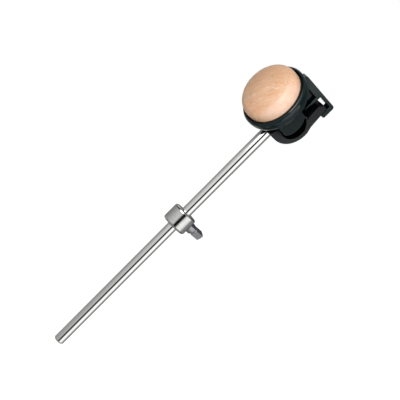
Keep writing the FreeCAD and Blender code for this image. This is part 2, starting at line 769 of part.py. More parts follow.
def key_bolt():
    """The key bolt: threaded tip at the rod, round flange, tapered shoulder and square head."""
    tip_y = SHAFT_R + size("pin_clearance")
    flange_y = COLLAR_FLAT_Y + size("bolt_washer_thickness")
    thread = size("bolt_thread_dia") / 2
    flange = size("bolt_flange_dia") / 2
    neck = size("bolt_neck_dia") / 2
    nick = size("bolt_tip_chamfer")
    edge = size("bolt_flange_edge")
    low = flange_y - tip_y
    high = low + size("bolt_flange_length")
    shoulder = high + size("bolt_shoulder_length")
    end = shoulder + size("bolt_neck_length")
    profile = Outline(ZERO, ZERO).line(thread - nick, ZERO).line(thread, nick).line(thread, low)
    profile.line(flange - edge, low).line(flange, low + edge).line(flange, high - edge)
    profile.line(flange - edge, high).line(neck, shoulder).line(neck, end).line(ZERO, end)
    base = (ZERO, tip_y, size("collar_height"))
    stem = turned("bolt_stem", profile, ALONG_BACK, base)
    half = size("bolt_head_across") / 2
    length = size("bolt_head_length")
    start = end - size("bolt_neck_length")
    square = doc.addObject("Part::Box", "bolt_square")
    for name, amount in (("Length", half * 2), ("Width", half * 2), ("Height", length)):
        bind(square, name, amount)
    place(square, ALONG_UP, (-half, -half, start))
    crown = size("bolt_head_crown_length")
    wide = size("bolt_head_across")
    crown_r = size("bolt_head_crown_dia") / 2
    limit = Outline(ZERO, start).line(crown_r, start).line(wide, start + (wide - crown_r) * 2)
    limit.line(wide, start + length - (wide - crown_r) / 2).line(crown_r - crown, start + length)
    limit.line(ZERO, start + length)
    envelope = turned("bolt_head_turning", limit, ALONG_UP, (ZERO, ZERO, ZERO))
    head = shared("bolt_head", [square, envelope])
    turn = FreeCAD.Rotation(FreeCAD.Vector(0, 0, 1), SIZES["bolt_rest_turn"])
    place(head, ALONG_BACK.multiply(turn), base)
    return joined("key_bolt", [stem, head])


PIECES = [
    beater_shaft(),
    wood_striker(),
    head_cup(),
    striker_screw(),
    tilt_pin(),
    tilt_washers(),
    head_carrier(),
    carrier_insert(),
    carrier_set_screw(),
    weight_collar(),
    bolt_washer(),
    key_bolt(),
]
doc.recompute()

failed = [item.Label for item in doc.Objects if {"Invalid", "Error"} & set(item.State)]
if failed:
    raise RuntimeError(f"these objects did not build: {failed}")
for piece in PIECES:
    if piece.Shape.isNull() or not piece.Shape.isValid():
        raise RuntimeError(f"{piece.Label} has no valid shape")

os.makedirs("parts", exist_ok=True)
for piece in PIECES:
    piece.Shape.exportStep(f"parts/{piece.Label}.step")
    print(piece.Label, len(piece.Shape.Solids), round(piece.Shape.Volume, 1))
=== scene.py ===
"""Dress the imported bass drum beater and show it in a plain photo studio.

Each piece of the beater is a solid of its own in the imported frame.  The solids keep
their shape.  This script gives every one of them its finish, and adds the floor, the
lights and the camera.
"""

import logging
import math
from dataclasses import dataclass
from enum import Enum

import bmesh
import bpy
from mathutils import Matrix, Vector

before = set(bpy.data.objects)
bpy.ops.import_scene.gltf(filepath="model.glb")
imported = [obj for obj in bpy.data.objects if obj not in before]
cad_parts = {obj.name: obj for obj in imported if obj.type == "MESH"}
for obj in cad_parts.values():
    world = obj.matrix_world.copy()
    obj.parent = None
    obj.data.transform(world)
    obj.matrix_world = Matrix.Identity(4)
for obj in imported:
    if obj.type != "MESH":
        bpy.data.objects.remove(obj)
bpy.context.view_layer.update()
LOG = logging.getLogger("beater")

Colour = tuple[float, float, float]
Place = tuple[float, float, float]
Span = tuple[float, float]
Socket = bpy.types.NodeSocket
Value = Socket | bpy.types.NodeTree | str | float | tuple[float, ...]

# Where the turned pieces have their axes, in metres.
BOLT_HEIGHT = 0.1251
PIN_DEPTH = 0.0033
PIN_HEIGHT = 0.22985
STRIKER_HEIGHT = 0.2339


# ---------------------------------------------------------------- shader graphs

class Graph:
    """Adds and links the nodes of one shader tree."""

    def __init__(self, tree: bpy.types.NodeTree) -> None:
        """Take a tree and empty it."""
        self.tree = tree
        tree.nodes.clear()

    def feed(self, socket: Socket, value: Value) -> None:
        """Link a socket into another, or set its plain value.

        Args:
            socket: the socket to feed.
            value: the socket that feeds it, or its plain value.
        """
        if isinstance(value, Socket):
            self.tree.links.new(value, socket)
        else:
            socket.default_value = value

    def add(self, kind: str, inputs: dict[str | int, Value] | None = None,
            **settings: Value) -> bpy.types.Node:
        """Add a node.

        Args:
            kind: the node's type name.
            inputs: what goes to its sockets, by name or number.
            settings: the node's own properties.

        Returns:
            The new node.
        """
        node = self.tree.nodes.new(kind)
        for name, value in settings.items():
            setattr(node, name, value)
        for name, value in (inputs or {}).items():
            self.feed(node.inputs[name], value)
        return node

    def sum(self, operation: str, first: Value, second: Value = 0.0,
            clamp: bool = False) -> Socket:
        """Do one piece of arithmetic.

        Args:
            operation: the Math node's operation.
            first: its first number or socket.
            second: its second number or socket.
            clamp: whether the answer is kept between 0 and 1.

        Returns:
            The answer's socket.
        """
        node = self.add("ShaderNodeMath", {0: first, 1: second}, operation=operation)
        node.use_clamp = clamp
        return node.outputs[0]

    def weigh(self, first: Socket, first_share: float, second: Socket, second_share: float,
              clamp: bool = False) -> Socket:
        """Add a share of one value to a share of another.

        Args:
            first: a value.
            first_share: how much of it counts.
            second: another value.
            second_share: how much of that counts.
            clamp: whether the answer is kept between 0 and 1.

        Returns:
            The answer's socket.
        """
        return self.sum("ADD", self.sum("MULTIPLY", first, first_share),
                        self.sum("MULTIPLY", second, second_share), clamp=clamp)

    def away(self, first: Socket, second: Socket) -> Socket:
        """Give the distance from an axis.

        Args:
            first: how far off it is one way.
            second: how far off it is the other way.

        Returns:
            The distance's socket.
        """
        return self.sum("SQRT", self.sum("ADD", self.sum("POWER", first, 2.0),
                                         self.sum("POWER", second, 2.0)))

    def blend(self, share: Value, first: Value, second: Value) -> Socket:
        """Mix two colours.

        Args:
            share: how much of the second colour shows.
            first: a colour or socket.
            second: a colour or socket.

        Returns:
            The mixed colour's socket.
        """
        pair = [(*c, 1.0) if isinstance(c, tuple) else c for c in (first, second)]
        node = self.add("ShaderNodeMix", {0: share, 6: pair[0], 7: pair[1]}, data_type="RGBA")
        return node.outputs[2]

    def band(self, value: Value, low: float, high: float, start: float = 0.0,
             end: float = 1.0) -> Socket:
        """Stretch a range of a value onto another range.

        Args:
            value: the number's socket.
            low: where the range begins.
            high: where it ends.
            start: what low becomes.
            end: what high becomes.

        Returns:
            The stretched value's socket.
        """
        names = {"Value": value, "From Min": low, "From Max": high, "To Min": start, "To Max": end}
        return self.add("ShaderNodeMapRange", names).outputs[0]

    def noise(self, vector: Value, scale: Value, detail: float = 2.0,
              roughness: float = 0.5) -> Socket:
        """Lay a cloudy pattern.

        Args:
            vector: the coordinates.
            scale: how many clouds there are to a metre.
            detail: how many finer layers it has.
            roughness: how strong the finer layers are.

        Returns:
            The pattern's value socket.
        """
        names = {"Vector": vector, "Scale": scale, "Detail": detail, "Roughness": roughness}
        return self.add("ShaderNodeTexNoise", names).outputs["Fac"]

    def stretch(self, vector: Value, scale: Place = (1.0, 1.0, 1.0),
                turn: Place = (0.0, 0.0, 0.0), shift: Place = (0.0, 0.0, 0.0)) -> Socket:
        """Scale, turn and shift coordinates.

        Args:
            vector: the coordinates.
            scale: the scale along each axis.
            turn: the turn about each axis, in radians.
            shift: the shift along each axis.

        Returns:
            The new coordinates' socket.
        """
        names = {"Vector": vector, "Scale": scale, "Rotation": turn, "Location": shift}
        return self.add("ShaderNodeMapping", names).outputs[0]

    def place(self) -> Socket:
        """Give the coordinates of the piece itself, in metres."""
        return self.add("ShaderNodeTexCoord").outputs["Object"]

    def split(self, vector: Socket) -> bpy.types.NodeOutputs:
        """Part coordinates into X, Y and Z."""
        return self.add("ShaderNodeSeparateXYZ", {0: vector}).outputs

    def relief(self, height: Socket, depth: float, normal: Socket) -> Socket:
        """Raise a fine relief on a surface.

        Args:
            height: the relief's pattern.
            depth: how deep it is, in metres.
            normal: the surface's own normal.

        Returns:
            The normal's socket.
        """
        names = {"Strength": 1.0, "Distance": depth, "Height": height, "Normal": normal}
        return self.add("ShaderNodeBump", names).outputs[0]

    def show(self, shader: bpy.types.Node) -> None:
        """Make a shader the surface of the material."""
        self.add("ShaderNodeOutputMaterial", {"Surface": shader.outputs[0]})


def new_finish(name: str) -> tuple[bpy.types.Material, Graph]:
    """Start a material.

    Args:
        name: the finish's name.

    Returns:
        The material and its empty graph.
    """
    material = bpy.data.materials.new(name)
    material.use_nodes = True
    return material, Graph(material.node_tree)


class Effect(Enum):
    """The surface effects that several finishes share."""

    SOFT_EDGES = "soft_edges"
    HANDLING_MARKS = "handling_marks"
    TOOL_LINES = "tool_lines"
    MOULD_GRAIN = "mould_grain"
    # Painted shade: an ambient occlusion mask that darkens pockets and gaps.
    PAINTED_POCKET_SHADE = "painted_pocket_shade"


class EffectShelf:
    """Builds each shared node group once and places it in a finish."""

    EDGE_SAMPLES: int = 6
    EDGE_BAND: Span = (0.99, 0.86)
    RUB_SCALE: float = 900.0
    RUB_BAND: Span = (0.38, 0.66)
    SMEAR_FINER: float = 5.3
    SMEAR_BROAD_BAND: Span = (0.42, 0.68)
    SMEAR_FINE_BAND: Span = (0.25, 0.75)
    LINE_BAND: Span = (0.3, 0.7)
    SCRATCH_COARSER: float = 0.37
    SCRATCH_BAND: Span = (0.66, 0.74)
    CELL_SHARE: float = 0.6
    GRAIN_SHARE: float = 0.5
    SHEEN_SCALE: float = 140.0
    SHEEN_BAND: Span = (0.3, 0.7)
    OPEN_SAMPLES: int = 8
    OPEN_BAND: Span = (0.55, 0.95)

    def __init__(self) -> None:
        """Start with no group built."""
        self.built: dict[Effect, bpy.types.NodeTree] = {}

    def use(self, graph: Graph, effect: Effect, **inputs: Value) -> bpy.types.NodeOutputs:
        """Place a group in a finish.

        Args:
            graph: the finish's graph.
            effect: which group.
            inputs: its values, named as its sockets are.

        Returns:
            What the group puts out.
        """
        if effect not in self.built:
            self.built[effect] = getattr(self, effect.value)()
        return graph.add("ShaderNodeGroup", inputs, node_tree=self.built[effect]).outputs

    @staticmethod
    def start(effect: Effect, inputs: dict[str, str], outputs: dict[str, str]
              ) -> tuple[Graph, bpy.types.NodeOutputs, bpy.types.NodeInputs]:
        """Open a new group.

        Args:
            effect: which group.
            inputs: its input names, each with its kind of socket.
            outputs: its output names, each with its kind of socket.

        Returns:
            The group's graph, what it is given and what it has to put out.
        """
        tree = bpy.data.node_groups.new(effect.value, "ShaderNodeTree")
        for way, sockets in (("INPUT", inputs), ("OUTPUT", outputs)):
            for name, kind in sockets.items():
                tree.interface.new_socket(name=name, in_out=way, socket_type=f"NodeSocket{kind}")
        graph = Graph(tree)
        return graph, graph.add("NodeGroupInput").outputs, graph.add("NodeGroupOutput").inputs

    def soft_edges(self) -> bpy.types.NodeTree:
        """Round every sharp edge in the light, and mark where it has rubbed bright.

        Returns:
            The group's tree.
        """
        graph, given, made = self.start(Effect.SOFT_EDGES, {"Radius": "Float"},
                                        {"Normal": "Vector", "Rubbed": "Float"})
        rounded = graph.add("ShaderNodeBevel", {"Radius": given["Radius"]},
                            samples=self.EDGE_SAMPLES).outputs[0]
        flat = graph.add("ShaderNodeNewGeometry").outputs["Normal"]
        meet = graph.add("ShaderNodeVectorMath", {0: rounded, 1: flat}, operation="DOT_PRODUCT")
        edge = graph.band(meet.outputs["Value"], *self.EDGE_BAND)
        patch = graph.noise(graph.place(), self.RUB_SCALE, detail=3.0, roughness=0.6)
        graph.feed(made["Normal"], rounded)
        graph.feed(made["Rubbed"],
                   graph.sum("MULTIPLY", edge, graph.band(patch, *self.RUB_BAND)))
        return graph.tree

    def handling_marks(self) -> bpy.types.NodeTree:
        """Lay faint smears and finger marks.

        Returns:
            The group's tree.
        """
        graph, given, made = self.start(Effect.HANDLING_MARKS,
                                        {"Vector": "Vector", "Scale": "Float"},
                                        {"Smear": "Float"})
        finer = graph.sum("MULTIPLY", given["Scale"], self.SMEAR_FINER)
        broad = graph.noise(given["Vector"], given["Scale"], detail=4.0, roughness=0.62)
        fine = graph.noise(given["Vector"], finer, detail=3.0, roughness=0.55)
        graph.feed(made["Smear"],
                   graph.sum("MULTIPLY", graph.band(broad, *self.SMEAR_BROAD_BAND),
                             graph.band(fine, *self.SMEAR_FINE_BAND)))
        return graph.tree

    def tool_lines(self) -> bpy.types.NodeTree:
        """Lay the fine lines that grinding, turning or polishing leaves.

        Returns:
            The group's tree.
        """
        graph, given, made = self.start(Effect.TOOL_LINES,
                                        {"Vector": "Vector", "Scale": "Float"},
                                        {"Lines": "Float", "Scratches": "Float"})
        coarser = graph.sum("MULTIPLY", given["Scale"], self.SCRATCH_COARSER)
        lines = graph.noise(given["Vector"], given["Scale"], detail=2.0, roughness=0.6)
        sparse = graph.noise(given["Vector"], coarser, detail=1.0, roughness=0.4)
        graph.feed(made["Lines"], graph.band(lines, *self.LINE_BAND))
        graph.feed(made["Scratches"], graph.band(sparse, *self.SCRATCH_BAND))
        return graph.tree

    def mould_grain(self) -> bpy.types.NodeTree:
        """Lay the fine spark-eroded grain of a moulding, and its cloudy sheen.

        Returns:
            The group's tree.
        """
        graph, given, made = self.start(Effect.MOULD_GRAIN,
                                        {"Vector": "Vector", "Scale": "Float"},
                                        {"Height": "Float", "Sheen": "Float"})
        fine = graph.noise(given["Vector"], given["Scale"], detail=3.0, roughness=0.7)
        cells = graph.add("ShaderNodeTexVoronoi", {"Vector": given["Vector"],
                                                   "Scale": given["Scale"]})
        cloud = graph.noise(given["Vector"], self.SHEEN_SCALE, detail=4.0, roughness=0.6)
        graph.feed(made["Height"], graph.weigh(cells.outputs["Distance"], self.CELL_SHARE,
                                               fine, self.GRAIN_SHARE))
        graph.feed(made["Sheen"], graph.band(cloud, *self.SHEEN_BAND))
        return graph.tree

    def painted_pocket_shade(self) -> bpy.types.NodeTree:
        """Mark how open a place is, for the painted shade that darkens pockets and gaps and takes
        away their gloss.

        Returns:
            The group's tree.
        """
        graph, given, made = self.start(Effect.PAINTED_POCKET_SHADE, {"Reach": "Float"}, {"Open": "Float"})
        reach = graph.add("ShaderNodeAmbientOcclusion", {"Distance": given["Reach"]},
                          samples=self.OPEN_SAMPLES)
        graph.feed(made["Open"], graph.band(reach.outputs["AO"], *self.OPEN_BAND))
        return graph.tree


SHELF = EffectShelf()


# --------------------------------------------------------------------- finishes

class Lay(Enum):
    """Which way the tool lines of a metal piece run."""

    ALONG_ROD = "along_rod"
    ROUND_ROD = "round_rod"
    ROUND_BOLT = "round_bolt"
    ROUND_PIN = "round_pin"

    def lines(self, graph: Graph) -> Socket:
        """Give coordinates that hardly change along the tool lines.

        Args:
            graph: the finish's graph.

        Returns:
            The coordinates' socket.
        """
        at = graph.place()
        if self is Lay.ALONG_ROD:
            return graph.stretch(at, (1.0, 1.0, 0.012))
        axis, middle = {
            Lay.ROUND_ROD: ("Z", (0.0, 0.0, 0.0)),
            Lay.ROUND_BOLT: ("Y", (0.0, 0.0, -BOLT_HEIGHT)),
            Lay.ROUND_PIN: ("X", (0.0, -PIN_DEPTH, -PIN_HEIGHT)),
        }[self]
        parts = graph.split(graph.stretch(at, shift=middle))
        across = [parts[name] for name in "XYZ" if name != axis]
        return graph.add("ShaderNodeCombineXYZ",
                         {"X": graph.away(*across), "Y": parts[axis]}).outputs[0]


@dataclass(frozen=True)
class Metal:
    """A plated or bare metal, with tool lines, smears and softened edges."""

    name: str
    tint: Colour
    dull: Colour
    gloss: float
    lay: Lay
    line_scale: float = 3600.0
    line_depth: float = 0.0000006
    line_gloss: float = 0.05
    edge: float = 0.0003
    smear_scale: float = 70.0
    smear_dull: float = 0.5
    smear_gloss: float = 0.06
    scratch_dull: float = 0.35

    def make(self) -> bpy.types.Material:
        """Build the material.

        Returns:
            The material.
        """
        material, graph = new_finish(self.name)
        lines = SHELF.use(graph, Effect.TOOL_LINES, Vector=self.lay.lines(graph),
                          Scale=self.line_scale)
        smear = SHELF.use(graph, Effect.HANDLING_MARKS, Vector=graph.place(),
                          Scale=self.smear_scale)["Smear"]
        edges = SHELF.use(graph, Effect.SOFT_EDGES, Radius=self.edge)
        worn = graph.weigh(smear, self.smear_dull, lines["Scratches"], self.scratch_dull,
                           clamp=True)
        rough = graph.weigh(lines["Lines"], self.line_gloss, smear, self.smear_gloss)
        graph.show(graph.add("ShaderNodeBsdfPrincipled", {
            "Base Color": graph.blend(worn, self.tint, self.dull),
            "Roughness": graph.sum("ADD", rough, self.gloss),
            "Metallic": 1.0,
            "Normal": graph.relief(lines["Lines"], self.line_depth, edges["Normal"]),
        }))
        return material


@dataclass(frozen=True)
class Moulding:
    """A moulded plastic, with its grain, cloudy sheen, rubbed edges and painted shade in its
    pockets and gaps.
    """

    name: str
    colour: Colour
    rubbed: Colour
    gloss: float
    spread: float
    shine: float
    grain_scale: float = 2600.0
    grain_depth: float = 0.000012
    edge: float = 0.0006
    reach: float = 0.009
    # Colour of the painted shade in pockets and gaps.
    hollow_shade: Colour = (0.0004, 0.0005, 0.0005)
    rub_pale: float = 0.6
    smear_scale: float = 55.0
    smear_pale: float = 0.06
    smear_gloss: float = 0.08

    def make(self) -> bpy.types.Material:
        """Build the material.

        Its gloss is a coat. Pockets and gaps get painted shade: an occlusion mask darkens their
        colour and takes their coat away.

        Returns:
            The material.
        """
        material, graph = new_finish(self.name)
        at = graph.place()
        grain = SHELF.use(graph, Effect.MOULD_GRAIN, Vector=at, Scale=self.grain_scale)
        smear = SHELF.use(graph, Effect.HANDLING_MARKS, Vector=at,
                          Scale=self.smear_scale)["Smear"]
        edges = SHELF.use(graph, Effect.SOFT_EDGES, Radius=self.edge)
        is_open = SHELF.use(graph, Effect.PAINTED_POCKET_SHADE, Reach=self.reach)["Open"]
        pale = graph.weigh(edges["Rubbed"], self.rub_pale, smear, self.smear_pale, clamp=True)
        uneven = graph.weigh(grain["Sheen"], self.spread, smear, self.smear_gloss)
        graph.show(graph.add("ShaderNodeBsdfPrincipled", {
            # Painted shade: where the occlusion mask is low, the colour goes to the shade colour
            # and the coat weight falls.
            "Base Color": graph.blend(is_open, self.hollow_shade,
                                      graph.blend(pale, self.colour, self.rubbed)),
            "Roughness": graph.sum("ADD", uneven, self.gloss),
            "Specular IOR Level": 0.04,
            "Coat Weight": graph.sum("MULTIPLY", is_open, self.shine),
            "Coat Roughness": self.gloss,
            "Coat IOR": 1.5,
            "Normal": graph.relief(grain["Height"], self.grain_depth, edges["Normal"]),
        }))
        return material


@dataclass(frozen=True)
class LacqueredWood:
    """A pale hardwood turned across its grain, under a thin clear lacquer."""

    name: str
    pale: Colour
    deep: Colour
    fleck: Colour
    pore: Colour
    # Colour of the painted highlight on the lit shoulder.
    painted_sheen: Colour
    seam: Colour
    grain_turn: float
    ring_width: float
    pith: Place
    gloss: float = 0.3
    relief_depth: float = 0.000008
    edge: float = 0.0005
    smear_scale: float = 60.0
    smear_gloss: float = 0.12
    pore_gloss: float = 0.15
    ring_share: float = 0.22
    fleck_share: float = 0.75
    pore_share: float = 0.4
    streak_scale: float = 520.0
    broad_scale: float = 62.0
    vessel_scale: float = 1500.0
    ray_scale: float = 900.0
    cloud_scale: float = 240.0
    # The painted highlight lies on this shoulder ring, on the lit +X side only.
    shoulder_band: Span = (0.0165, 0.019)
    lit_side_band: Span = (0.012, 0.019)
    seam_band: Span = (-0.0207, -0.0203)

    def make(self) -> bpy.types.Material:
        """Build the material.

        Returns:
            The material.
        """
        material, graph = new_finish(self.name)
        along = graph.stretch(graph.place(), turn=(0.0, self.grain_turn, 0.0))
        streak = self.fibres(graph, along, 0.09, self.streak_scale, detail=4.0, roughness=0.65)
        vessel = self.fibres(graph, along, 0.07, self.vessel_scale, detail=1.0, roughness=0.4)
        pores = graph.band(vessel, 0.6, 0.7)
        smear = SHELF.use(graph, Effect.HANDLING_MARKS, Vector=graph.place(),
                          Scale=self.smear_scale)["Smear"]
        edges = SHELF.use(graph, Effect.SOFT_EDGES, Radius=self.edge)
        relief = graph.sum("SUBTRACT", graph.sum("MULTIPLY", streak, 0.5), pores)
        rough = graph.weigh(smear, self.smear_gloss, pores, self.pore_gloss)
        graph.show(graph.add("ShaderNodeBsdfPrincipled", {
            # The base colour carries a painted highlight on the lit shoulder.
            "Base Color": self.turned(graph, self.figure(graph, along, streak, pores)),
            "Roughness": graph.sum("ADD", rough, self.gloss),
            "Specular IOR Level": 0.5,
            "Normal": graph.relief(relief, self.relief_depth, edges["Normal"]),
        }))
        return material

    @staticmethod
    def fibres(graph: Graph, along: Socket, squeeze: float, scale: float, detail: float,
               roughness: float) -> Socket:
        """Lay a cloudy pattern that is drawn out along the grain.

        Args:
            graph: the finish's graph.
            along: coordinates whose X runs with the grain.
            squeeze: the pattern's scale along the grain, beside that across it.
            scale: how many fibres there are to a metre across the grain.
            detail: how many finer layers it has.
            roughness: how strong the finer layers are.

        Returns:
            The pattern's value socket.
        """
        return graph.noise(graph.stretch(along, (squeeze, 1.0, 1.0)), scale, detail, roughness)

    def figure(self, graph: Graph, along: Socket, streak: Socket, pores: Socket) -> Socket:
        """Colour the rings, streaks, flecks and pores.

        Args:
            graph: the finish's graph.
            along: coordinates whose X runs with the grain.
            streak: the pattern of the streaks.
            pores: where the pores are.

        Returns:
            The colour's socket.
        """
        rings = graph.add("ShaderNodeTexWave", {
            "Vector": graph.stretch(along, (0.12, 1.0, 1.0), shift=self.pith),
            "Scale": math.tau / 20.0 / self.ring_width,
            "Distortion": 2.6, "Detail": 2.0, "Detail Scale": 0.3, "Detail Roughness": 0.45,
        }, wave_type="RINGS", rings_direction="X", wave_profile="SIN").outputs["Fac"]
        broad = self.fibres(graph, along, 0.35, self.broad_scale, detail=2.0, roughness=0.5)
        ray = self.fibres(graph, along, 0.07, self.ray_scale, detail=2.0, roughness=0.5)
        flecks = graph.sum("MULTIPLY", graph.band(ray, 0.57, 0.64),
                           graph.band(broad, 0.38, 0.6))
        tone = graph.sum("ADD", graph.sum("MULTIPLY", rings, self.ring_share),
                         graph.band(streak, 0.38, 0.64, end=0.5))
        tone = graph.sum("ADD", tone, graph.band(broad, 0.3, 0.66, start=0.4, end=0.0),
                         clamp=True)
        body = graph.blend(tone, self.pale, self.deep)
        lit = graph.blend(graph.sum("MULTIPLY", flecks, self.fleck_share), body, self.fleck)
        return graph.blend(graph.sum("MULTIPLY", pores, self.pore_share), lit, self.pore)

    def turned(self, graph: Graph, colour: Socket) -> Socket:
        """Paint a highlight on the lit +X shoulder, and darken a thin band at the lip.

        Args:
            graph: the finish's graph.
            colour: the wood's colour.

        Returns:
            The new colour's socket.
        """
        parts = graph.split(graph.place())
        away = graph.away(parts["X"], graph.sum("SUBTRACT", parts["Z"], STRIKER_HEIGHT))
        cloud = graph.noise(graph.place(), self.cloud_scale, detail=3.0, roughness=0.6)
        # Painted highlight: the shoulder ring on the lit +X side is blended paler, with a cloudy
        # spread.
        rim = graph.sum("MULTIPLY", graph.band(away, *self.shoulder_band),
                        graph.band(parts["X"], *self.lit_side_band))
        shoulder = graph.sum("MULTIPLY", rim, graph.band(cloud, 0.3, 0.6, start=0.5, end=0.95))
        return graph.blend(graph.band(parts["Y"], *self.seam_band),
                           graph.blend(shoulder, colour, self.painted_sheen), self.seam)


ROD_CHROME = Metal("rod_chrome", tint=(0.80, 0.80, 0.79), dull=(0.62, 0.62, 0.61),
                   gloss=0.05, lay=Lay.ALONG_ROD)
COLLAR_CHROME = Metal("collar_chrome", tint=(0.66, 0.66, 0.65), dull=(0.48, 0.48, 0.47),
                      gloss=0.09, lay=Lay.ROUND_ROD, line_scale=4200.0, line_depth=0.0000001)
BOLT_CHROME = Metal("bolt_chrome", tint=(0.56, 0.55, 0.58), dull=(0.4, 0.39, 0.42),
                    gloss=0.05, lay=Lay.ROUND_BOLT, edge=0.0004)
SCREW_STEEL = Metal("screw_steel", tint=(0.36, 0.36, 0.37), dull=(0.22, 0.22, 0.23),
                    gloss=0.28, lay=Lay.ROUND_BOLT)
PIN_STEEL = Metal("pin_steel", tint=(0.6, 0.6, 0.59), dull=(0.4, 0.4, 0.39),
                  gloss=0.2, lay=Lay.ROUND_PIN)
WASHER_STEEL = Metal("washer_steel", tint=(0.46, 0.46, 0.47), dull=(0.3, 0.3, 0.31),
                     gloss=0.26, lay=Lay.ROUND_BOLT)
INSERT_BRASS = Metal("insert_brass", tint=(0.72, 0.5, 0.2), dull=(0.5, 0.33, 0.12),
                     gloss=0.24, lay=Lay.ROUND_ROD)
# The shade colour of each moulding is painted shade for its pockets and gaps.
WASHER_NYLON = Moulding("washer_nylon", colour=(0.72, 0.7, 0.62), rubbed=(0.8, 0.78, 0.72),
                        gloss=0.42, spread=0.12, shine=0.8, hollow_shade=(0.5, 0.48, 0.42))
CUP_PLASTIC = Moulding("cup_plastic", colour=(0.0005, 0.0092, 0.0105),
                       rubbed=(0.016, 0.021, 0.022), gloss=0.075, spread=0.04, shine=0.92,
                       grain_scale=3200.0, grain_depth=0.000001)
CARRIER_PLASTIC = Moulding("carrier_plastic", colour=(0.0012, 0.0034, 0.0046),
                           rubbed=(0.024, 0.026, 0.028), gloss=0.24, spread=0.09, shine=0.78)
# The wood's paler shoulder colour is a painted highlight on the lit side.
STRIKER_WOOD = LacqueredWood("striker_wood", pale=(0.84, 0.54, 0.355), deep=(0.78, 0.42, 0.225),
                             fleck=(0.94, 0.72, 0.55), pore=(0.56, 0.3, 0.17),
                             painted_sheen=(0.88, 0.61, 0.47), seam=(0.3, 0.18, 0.1),
                             grain_turn=math.radians(53.0), ring_width=0.0075,
                             pith=(0.0, 0.024, 0.045))


# --------------------------------------------------------------- sub-assemblies

def dress(node: str, material: bpy.types.Material) -> None:
    """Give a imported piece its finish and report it.

    Args:
        node: the piece's name.
        material: its finish.
    """
    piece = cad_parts[node]
    for slot in piece.material_slots:
        slot.material = material
    LOG.info("%s: %s, %d faces", node, material.name, len(piece.data.polygons))


@dataclass
class Rod:
    """The plated rod that the pedal's clamp grips."""

    finish: Metal = ROD_CHROME

    def build(self) -> None:
        """Dress the rod."""
        dress("beater_shaft", self.finish.make())


@dataclass
class Carrier:
    """The moulded carrier on the rod's end, with its brass insert and set screw."""

    finish: Moulding = CARRIER_PLASTIC
    insert_finish: Metal = INSERT_BRASS
    screw_finish: Metal = SCREW_STEEL

    def build(self) -> None:
        """Dress the carrier and what is set in it."""
        dress("head_carrier", self.finish.make())
        dress("carrier_insert", self.insert_finish.make())
        dress("carrier_set_screw", self.screw_finish.make())


@dataclass
class Head:
    """The tilting cup with its wood striker, screw, pin and washers."""

    finish: Moulding = CUP_PLASTIC
    wood: LacqueredWood = STRIKER_WOOD
    pin_finish: Metal = PIN_STEEL
    screw_finish: Metal = SCREW_STEEL
    washer_finish: Moulding = WASHER_NYLON

    def build(self) -> None:
        """Dress the cup and all that tilts with it."""
        dress("head_cup", self.finish.make())
        dress("wood_striker", self.wood.make())
        dress("striker_screw", self.screw_finish.make())
        dress("tilt_pin", self.pin_finish.make())
        dress("tilt_washers", self.washer_finish.make())


@dataclass
class Weight:
    """The sliding weight with its key bolt and washer."""

    finish: Metal = COLLAR_CHROME
    bolt_finish: Metal = BOLT_CHROME
    washer_finish: Metal = WASHER_STEEL

    def build(self) -> None:
        """Dress the weight and its fastening."""
        dress("weight_collar", self.finish.make())
        dress("bolt_washer", self.washer_finish.make())
        dress("key_bolt", self.bolt_finish.make())


# ----------------------------------------------------------------------- studio

@dataclass(frozen=True)
class CardRow:
    """The cards at one height: each one's bearing in degrees and its brightness."""

    height: float
    cards: tuple[Span, ...]


